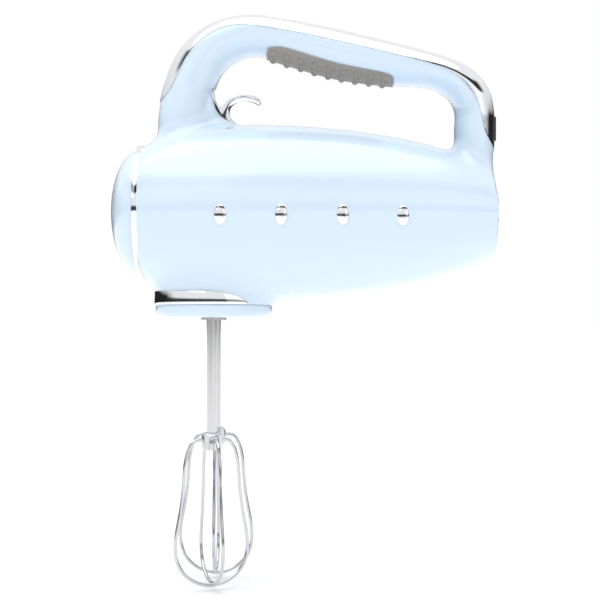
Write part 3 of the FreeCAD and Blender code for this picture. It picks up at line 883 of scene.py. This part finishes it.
            halves.append(half)
        bpy.data.objects.remove(body)
        return halves

    def cutters(self) -> List[bpy.types.Object]:
        """Blocks for the openings in the shell.

        Returns:
            The blocks, each used once.
        """
        return [Bench.block("slot_cut", (-71, -6.1, -50), (-51.5, 6.1, -19.6), 0.8),
                Bench.block("slider_cut", (-34, -5, 12), (-18, 5, 22), 0, SLIDER_TILT, SLIDER_PIVOT),
                Bench.block("rocker_cut", *ROCKER_OPENING, 0.5)]


@dataclass
class Trim:
    """The plated strip along the top of the handle."""

    sizes: Sizes
    proud: float = 0.4
    sunk: float = 0.3
    edge: List[Tuple[float, float]] = field(default_factory=lambda: [
        (-92.9, -26.9), (-88.5, -23.2), (-84.5, -17), (-77.9, -4.2), (-67.8, 6.6), (-51.9, 12.0),
        (-20.7, 8.0), (20.0, -0.9), (48.0, -8.3), (61.5, -14.2), (70.4, -23.4), (74.6, -33.0),
        (77.4, -44), (83.4, -52.5)])

    def build(self) -> bpy.types.Object:
        """Keep the skin of a slightly larger handle above the strip's lower edge.

        Returns:
            The strip.
        """
        s = self.sizes
        strip = s.tube("trim_strip", self.proud)
        region = Bench.flow(self.edge) + [(110, -52.5), (110, 60), (-120, 60), (-120, -26.9)]
        Bench.overlap(strip, Bench.prism("trim_region", region, 40))
        Bench.carve(strip, s.tube("trim_core", -self.sunk))
        cutters = [Bench.block("trim_slider", (-35.9, -5.4, 10), (-16.1, 5.4, 24), 0, SLIDER_TILT,
                               SLIDER_PIVOT),
                   Bench.block("trim_rocker", *ROCKER_OPENING, 0.5)]
        Bench.carve(strip, Bench.join("trim_openings", cutters))
        Bench.modify(strip, "BEVEL", width=0.36 * MM, segments=4, limit_method="ANGLE", angle_limit=0.7)
        Bench.smooth(strip, 30)
        CHROME.dress(strip)
        return strip


@dataclass
class Grip:
    """The soft pad under the grip, with its rows of nubs."""

    sizes: Sizes
    proud: float = 0.75
    first_nub: float = -33.4
    pitch: float = 7.26
    nubs: int = 9
    nub_radius: float = 1.75
    nub_out: float = 0.15
    turns: Tuple[int, ...] = (-38, -19, 0, 19, 38)
    edge: List[Tuple[float, float]] = field(default_factory=lambda: [
        (-36.7, -1.6), (-35.6, -0.1), (-32.3, 0.3), (-25.4, -0.7), (0, -8.2), (26, -13.5), (30.1, -16.6)])

    def nub(self) -> bpy.types.Object:
        """Model the first nub, a small ball that the pad half hides.

        Returns:
            The nub, at the origin.
        """
        Bench.clear()
        bpy.ops.mesh.primitive_uv_sphere_add(segments=20, ring_count=12, radius=self.nub_radius * MM)
        return Bench.settle(Bench.named("nub"))

    def place_along(self, x: float) -> float:
        """Find where the handle's path reaches an X; both in millimetres.

        Args:
            x: The X to reach.

        Returns:
            The place along the path.
        """
        places = np.linspace(7, 12, 501)
        gaps = [abs(self.sizes.on_handle(place, math.pi, 0).x / MM - x) for place in places]
        return float(places[int(np.argmin(gaps))])

    def build(self) -> bpy.types.Object:
        """Keep the skin of a larger handle below the pad's upper edge, and set the nubs on it.

        Returns:
            The pad.
        """
        s = self.sizes
        pad = s.tube("grip_pad_soft", self.proud)
        region = Bench.flow(self.edge) + [(30.1, -50), (-36.7, -50)]
        Bench.overlap(pad, Bench.prism("pad_region", region, 40))
        Bench.carve(pad, s.tube("pad_core", 0.02))
        Bench.modify(pad, "BEVEL", width=0.3 * MM, segments=3, limit_method="ANGLE", angle_limit=0.7)
        first = self.nub()
        beads = [pad]
        for step in range(self.nubs):
            place = self.place_along(self.first_nub + step * self.pitch)
            for turn in self.turns:
                Bench.pick(first)
                spot = s.on_handle(place, math.pi + math.radians(turn), self.nub_out)
                bpy.ops.object.duplicate_move(TRANSFORM_OT_translate={"value": spot})
                beads.append(Bench.settle(bpy.context.object))
        bpy.data.objects.remove(first)
        pad = Bench.join("grip_pad_soft", beads)
        Bench.smooth(pad, 60)
        RUBBER.dress(pad)
        return pad


@dataclass
class Nose:
    """The front dome and its plated ring; the dome's inside is a share of its outside."""

    sizes: Sizes
    radius: float = 33.0
    depth: float = 15.6
    ring_bore: float = 33.05
    ring_back: float = 2.0
    inner_radius: float = 0.94
    inner_depth: float = 0.88

    def build(self) -> List[bpy.types.Object]:
        """Turn the dome and the ring.

        Returns:
            The dome and the ring.
        """
        s = self.sizes
        centre = (s.nose_plane, 0, s.egg_z)
        turns = np.linspace(0, math.pi / 2, 40)
        arc = [(self.radius * math.cos(a), -self.depth * math.sin(a)) for a in turns]
        arc[-1] = (0.0, -self.depth)
        inner = [(r * self.inner_radius, h * self.inner_depth) for r, h in reversed(arc)]
        dome = Bench.turned("nose_dome", arc + inner + [arc[0]], Axis.X, centre, 128)
        Bench.smooth(dome, 40)
        ENAMEL.dress(dome)
        r, bore, back = s.ring_radius, self.ring_bore, self.ring_back
        shape = [(bore, -1.2), (r - 0.6, -1.2), (r - 0.2, -1.05), (r, -0.6), (r, 0.4), (r, 1.2),
                 (r - 0.3, 1.8), (r - 0.8, back), (bore, back), (bore, -1.2)]
        ring = Bench.turned("nose_ring_bright", shape, Axis.X, centre, 160)
        Bench.smooth(ring, 30)
        CHROME.dress(ring)
        return [dome, ring]


@dataclass
class Hub:
    """The plated band and the base tray under the body."""

    sizes: Sizes
    bore_radius: float = 5.8
    corner: float = 3.5

    def band(self) -> bpy.types.Object:
        """Turn the band and slope its rear ends.

        Returns:
            The band.
        """
        s = self.sizes
        r = s.hub_radius
        shape = [(r - 0.6, 0), (r + 0.35, 0), (r + 0.6, 0.3), (r + 0.62, 1.5), (r + 0.5, 7.2),
                 (r + 0.2, 7.9), (r - 0.6, 8.1), (r - 0.6, 0)]
        band = Bench.turned("hub_band_bright", shape, Axis.Z, (s.spindle_x, 0, s.hub_seam + 0.1), 192)
        edge = [(-110, -126.4), (-84.4, -126.6), (-64.6, -127.0), (-58.6, -127.5), (-52.5, -128.8),
                (-48.7, -130.4), (-46.4, -132.0), (-45.8, -132.9), (-46.1, -134.5), (-110, -134.5)]
        Bench.overlap(band, Bench.prism("band_region", edge, 50))
        Bench.modify(band, "BEVEL", width=0.15 * MM, segments=2, limit_method="ANGLE")
        Bench.smooth(band, 30)
        CHROME.dress(band)
        return band

    def base(self) -> bpy.types.Object:
        """Turn the tray and bore it for the spindles.

        Returns:
            The tray.
        """
        s = self.sizes
        r, c, deep = s.hub_radius, self.corner, s.hub_seam - s.hub_bottom
        turns = np.linspace(0, math.pi / 2, 9)
        curve = [(r - c + c * math.sin(a), c - c * math.cos(a)) for a in turns]
        shape = [(0, 0), (14, 0)] + curve + [(r, deep - 0.35), (r - 0.3, deep - 0.05), (r - 2.4, deep - 0.05),
                                             (r - 2.4, 2.4), (0, 2.4)]
        tray = Bench.turned("hub_base_tray", shape, Axis.Z, (s.spindle_x, 0, s.hub_bottom), 160)
        for side in (-1, 1):
            spot = (s.spindle_x, side * s.spindle_y, s.hub_bottom)
            Bench.carve(tray, Bench.bar("bore", self.bore_radius, 30, spot, 64))
        Bench.smooth(tray, 35)
        ENAMEL.dress(tray)
        return tray


@dataclass
class Trigger:
    """The plated eject hook under the front of the handle."""

    half: float = 5.4
    outer: List[Tuple[float, float]] = field(default_factory=lambda: [
        (-64.9, -20.6), (-64.1, -24.2), (-62.6, -27.8), (-60.6, -29.0), (-58.6, -27.9), (-56.6, -25.7),
        (-53.4, -23.7), (-48.8, -22.8), (-43.6, -23.5), (-39.9, -25.9)])
    inner: List[Tuple[float, float]] = field(default_factory=lambda: [
        (-40.6, -27.3), (-44.2, -25.6), (-48.8, -24.9), (-53.0, -25.8), (-56.0, -28.4), (-56.6, -32.0),
        (-55.2, -35.9), (-52.4, -38.3)])
    back: List[Tuple[float, float]] = field(default_factory=lambda: [
        (-53.4, -39.2), (-58.6, -36.6), (-63.6, -31.2), (-66.0, -24.6), (-66.0, -20.8)])

    def build(self) -> bpy.types.Object:
        """Extrude the hook's outline, round its edges and add the lever inside the handle.

        Returns:
            The trigger.
        """
        outline = Bench.flow(self.outer, 4) + Bench.flow(self.inner, 4) + Bench.flow(self.back, 4)
        hook = Bench.prism("trigger_hook", outline, self.half)
        Bench.modify(hook, "BEVEL", width=0.5 * MM, segments=4, limit_method="ANGLE", angle_limit=0.9)
        lever = Bench.block("trigger_lever", (-79, -3, -40.8), (-60.2, 3, -35.6), 0.5)
        hook = Bench.join("trigger_hook", [hook, lever])
        Bench.smooth(hook, 35)
        CHROME.dress(hook)
        return hook


@dataclass
class Controls:
    """The speed slider, its plate and the power rocker."""

    def flat(self, name: str, low: Point, high: Point, soften: float) -> bpy.types.Object:
        """Lay a softened block on the slope of the handle.

        Args:
            name: The piece's name.
            low: Lowest corner, from the slider's pivot.
            high: Highest corner, from the slider's pivot.
            soften: Edge radius.

        Returns:
            The block.
        """
        a = tuple(p + v for p, v in zip(SLIDER_PIVOT, low))
        b = tuple(p + v for p, v in zip(SLIDER_PIVOT, high))
        return Bench.block(name, a, b, soften, SLIDER_TILT, SLIDER_PIVOT)

    def plate(self) -> bpy.types.Object:
        """The bright plate that the slider runs in.

        Returns:
            The plate.
        """
        plate = self.flat("slider_plate", (-9.9, -5.4, -1.6), (9.9, 5.4, -0.1), 0.3)
        Bench.carve(plate, self.flat("slot", (-7, -3, -4), (7, 3, 4), 0.2))
        Bench.carve(plate, self.flat("window", (7.7, -0.9, -4), (9.5, 0.9, 4), 0))
        Bench.smooth(plate, 30)
        CHROME.dress(plate)
        return plate

    def knob(self) -> bpy.types.Object:
        """The plated slider with a raised thumb ridge.

        Returns:
            The slider.
        """
        parts = [self.flat("knob_body", (-3.6, -2.7, -4), (3.6, 2.7, 0.45), 0.3)]
        for x in (-2.4, -1.2, 0.0, 1.2, 2.4):
            parts.append(self.flat("ridge", (x - 0.3, -2.5, 0.2), (x + 0.3, 2.5, 0.95), 0.2))
        knob = Bench.join("slider_knob", parts)
        Bench.smooth(knob, 30)
        CHROME.dress(knob)
        return knob

    def rocker(self) -> bpy.types.Object:
        """The power rocker, hollowed a little on its face.

        Returns:
            The rocker.
        """
        body = Bench.block("rocker_cap", (78, -3.9, -45.4), (84.4, 3.9, -36.6), 0.6)
        Bench.carve(body, Bench.bar("hollow", 16, 30, (99.7, 0, -41), 96, across=True))
        Bench.smooth(body, 30)
        DARK.dress(body)
        return body


@dataclass
class Collar:
    """The four-lobed steel collar that holds the beater's wires."""

    sizes: Sizes
    foot: float = -208.6
    flute_out: float = 6.9
    flute_radius: float = 2.5
    flute_middle: float = -204
    phases: Dict[str, float] = field(default_factory=lambda: {"left": 21.0, "right": 0.0})

    def build(self, side: str) -> bpy.types.Object:
        """Turn the collar and cut its four slots.

        Args:
            side: left or right.

        Returns:
            The collar.
        """
        s = self.sizes
        y = s.spindle_y * (-1 if side == "left" else 1)
        shape = [(2.65, 0), (4.6, 0), (5.1, 0.4), (5.25, 1.2), (5.25, 6.8), (4.9, 7.6), (4.2, 8.4),
                 (3.4, 9.0), (2.65, 9.0), (2.65, 0)]
        collar = Bench.turned(side + "_collar_lobed", shape, Axis.Z, (s.spindle_x, y, self.foot), 96)
        for quarter in range(4):
            turn = math.radians(self.phases[side] + 45 + 90 * quarter)
            spot = (s.spindle_x + self.flute_out * math.cos(turn), y + self.flute_out * math.sin(turn),
                    self.flute_middle)
            Bench.carve(collar, Bench.bar("flute", self.flute_radius, 14, spot, 40))
        Bench.smooth(collar, 35)
        STEEL.dress(collar)
        return collar


# ------------------------------------------------------------------ room, camera and frame nodes
class Studio:
    """The floor, the lights, the surroundings and the camera."""

    floor_width = 60
    floor_gap = 0.002
    rim = 0.05
    aim: Point = (0, 0, -0.1)

    @classmethod
    def floor(cls) -> None:
        """Lay a pale floor just under the beaters, with a short rim below its edge."""
        Bench.clear()
        level = CAD_BOX[0][2] - cls.floor_gap
        bpy.ops.mesh.primitive_plane_add(size=cls.floor_width, location=(0, 0, level))
        floor = Bench.settle(Bench.named("floor"))
        Bench.edit(floor, "EDGE", lambda co: True)
        bpy.ops.mesh.extrude_region_move(TRANSFORM_OT_translate={"value": (0, 0, -cls.rim)})
        Bench.done()
        paint = Finish("studio_white", (0.94, 0.94, 0.945), (0.955, 0.955, 0.96), (0.95, 0.95, 0.95),
                       rough=0.9, bump=0.0, wear=0.0, slow=2)
        paint.dress(floor)

    @classmethod
    def lamp(cls, name: str, place: Point, size: float, power: float) -> None:
        """A large soft light pointed at the mixer.

        Args:
            name: The light's name.
            place: Where it stands, in metres.
            size: Its width.
            power: Its power in watts.
        """
        data = bpy.data.lights.new(name, "AREA")
        data.size = size
        data.energy = power
        obj = bpy.data.objects.new(name, data)
        bpy.context.scene.collection.objects.link(obj)
        obj.location = place
        obj.rotation_euler = (Vector(cls.aim) - Vector(place)).to_track_quat("-Z", "Y").to_euler()

    @staticmethod
    def sky(power: float) -> None:
        """One very soft light from straight above, even over the whole floor.

        Args:
            power: Its strength.
        """
        data = bpy.data.lights.new("sky", "SUN")
        data.energy = power
        data.angle = math.radians(70)
        obj = bpy.data.objects.new("sky", data)
        bpy.context.scene.collection.objects.link(obj)
        obj.rotation_euler = (math.radians(8), math.radians(-6), 0)

    @staticmethod
    def world() -> None:
        """Show the camera plain white, and reflections light bands split by dark ones."""
        world = bpy.data.worlds.new("room")
        bpy.context.scene.world = world
        world.use_nodes = True
        nodes, link = world.node_tree.nodes, world.node_tree.links.new
        where = nodes.new("ShaderNodeTexCoord")
        split = nodes.new("ShaderNodeSeparateXYZ")
        link(where.outputs["Generated"], split.inputs[0])
        levels = []
        front = ((0.0, 0.05), (0.10, 0.04), (0.16, 0.95), (0.46, 0.95), (0.50, 0.03), (0.66, 0.03),
                 (0.70, 1.0))
        rear = ((0.0, 0.02), (0.16, 0.02), (0.30, 0.85), (0.60, 1.0))
        for stops in (front, rear):
            ramp = nodes.new("ShaderNodeValToRGB")
            elements = ramp.color_ramp.elements
            for index, (place, level) in enumerate(stops):
                element = elements[index] if index < 2 else elements.new(place)
                element.position = place
                element.color = (level, level, level * 1.02, 1)
            link(split.outputs["Z"], ramp.inputs["Fac"])
            levels.append(ramp)
        side = nodes.new("ShaderNodeMapRange")
        Effects.put(side, From_Min=-0.2, From_Max=0.2)
        room = Effects.add(world.node_tree, "ShaderNodeMix", data_type="RGBA")
        link(split.outputs["Y"], side.inputs["Value"])
        link(side.outputs[0], room.inputs["Factor"])
        link(levels[0].outputs["Color"], room.inputs["A"])
        link(levels[1].outputs["Color"], room.inputs["B"])
        eye = nodes.new("ShaderNodeLightPath")
        seen = Effects.add(world.node_tree, "ShaderNodeMix", data_type="RGBA")
        Effects.put(seen, B=(1, 1, 1, 1))
        link(eye.outputs["Is Camera Ray"], seen.inputs["Factor"])
        link(room.outputs["Result"], seen.inputs["A"])
        link(seen.outputs["Result"], nodes["Background"].inputs["Color"])
        Effects.put(nodes["Background"], Strength=1.0)

    @staticmethod
    def camera() -> None:
        """Look level across the mixer's left side."""
        data = bpy.data.cameras.new("view")
        data.lens = 76.4
        data.sensor_width = 36
        data.shift_y = 0.0417
        obj = bpy.data.objects.new("view", data)
        obj.location = (-0.0191, -0.675, -0.1442)
        obj.rotation_euler = (math.pi / 2, 0, 0)
        bpy.context.scene.collection.objects.link(obj)
        bpy.context.scene.camera = obj

    @classmethod
    def build(cls) -> None:
        """Set up the whole room."""
        bpy.context.scene.view_settings.view_transform = "Standard"
        cls.camera()
        cls.floor()
        cls.world()
        cls.lamp("key", (-0.7, -1.1, 0.9), 1.0, 1.5)
        cls.lamp("fill", (0.9, -0.9, 0.2), 0.9, 0.6)
        cls.sky(1.5)


NODE_FINISH: Dict[Finish, Tuple[str, ...]] = {
    ENAMEL: ("housing_left", "housing_right", "nose_cap", "hub_base"),
    CHROME: ("nose_ring", "handle_trim", "hub_band", "left_studs", "right_studs", "eject_trigger",
             "speed_slider"),
    RUBBER: ("grip_pad",),
    FOOT: ("heel_feet", "cord_gland"),
    DARK: ("switch_bezel", "rocker_frame", "power_rocker", "rocker_switch", "brush_holders"),
    LENS: ("indicator_lens",),
    STEEL: ("left_beater_shaft", "right_beater_shaft", "left_beater_wires", "right_beater_wires",
            "left_beater_collar", "right_beater_collar", "left_spindle", "right_spindle"),
    TURNED: ("housing_screws", "gearbox_screws", "motor_screws", "armature_shaft", "worm", "left_pusher",
             "right_pusher", "trigger_pin", "trigger_spring", "ejector_springs", "brush_springs",
             "stator_stack", "armature_core"),
    BRONZE: ("lower_bushes", "upper_bushes", "front_bearing", "rear_bearing"),
    NYLON: ("left_drive_gear", "right_drive_gear", "ejector_slide", "cooling_fan"),
    CAST: ("gearbox_frame", "gearbox_cover", "motor_frame_front", "motor_frame_rear"),
    COPPER: ("field_coils", "armature_windings", "commutator"),
    CARBON: ("carbon_brushes",),
    LAMINATE: ("control_board",),
}


def keep(piece: bpy.types.Object, body: str, node: str) -> None:
    """Ride a piece on a body in place of one frame node.

    Args:
        piece: The finished piece.
        body: The body it moves with.
        node: The frame node it stands for, which is hidden.
    """
    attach(piece, body)
    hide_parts(node)
    LOG.info("%s rides on %s", piece.name, body)


def main() -> None:
    """Build every sub-assembly in order."""
    logging.basicConfig(level=logging.INFO)
    Bench.clear()
    for finish, nodes in NODE_FINISH.items():
        finish.dress(*[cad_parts[name] for name in nodes])
    Studio.build()
    sizes = Sizes.from_frame()
    LOG.info("sizes %s", sizes)
    left, right = BodyShell(sizes).build()
    keep(left, "mixer_body", "housing_left")
    keep(right, "mixer_body", "housing_right")
    keep(Trim(sizes).build(), "mixer_body", "handle_trim")
    keep(Grip(sizes).build(), "mixer_body", "grip_pad")
    dome, ring = Nose(sizes).build()
    keep(dome, "mixer_body", "nose_cap")
    keep(ring, "mixer_body", "nose_ring")
    hub = Hub(sizes)
    keep(hub.band(), "mixer_body", "hub_band")
    keep(hub.base(), "mixer_body", "hub_base")
    keep(Trigger().build(), "trigger", "eject_trigger")
    controls = Controls()
    keep(controls.plate(), "mixer_body", "switch_bezel")
    keep(controls.knob(), "slider", "speed_slider")
    keep(controls.rocker(), "rocker", "power_rocker")
    for side in ("left", "right"):
        keep(Collar(sizes).build(side), side + "_beater", side + "_beater_collar")


if __name__ == "__main__":
    main()
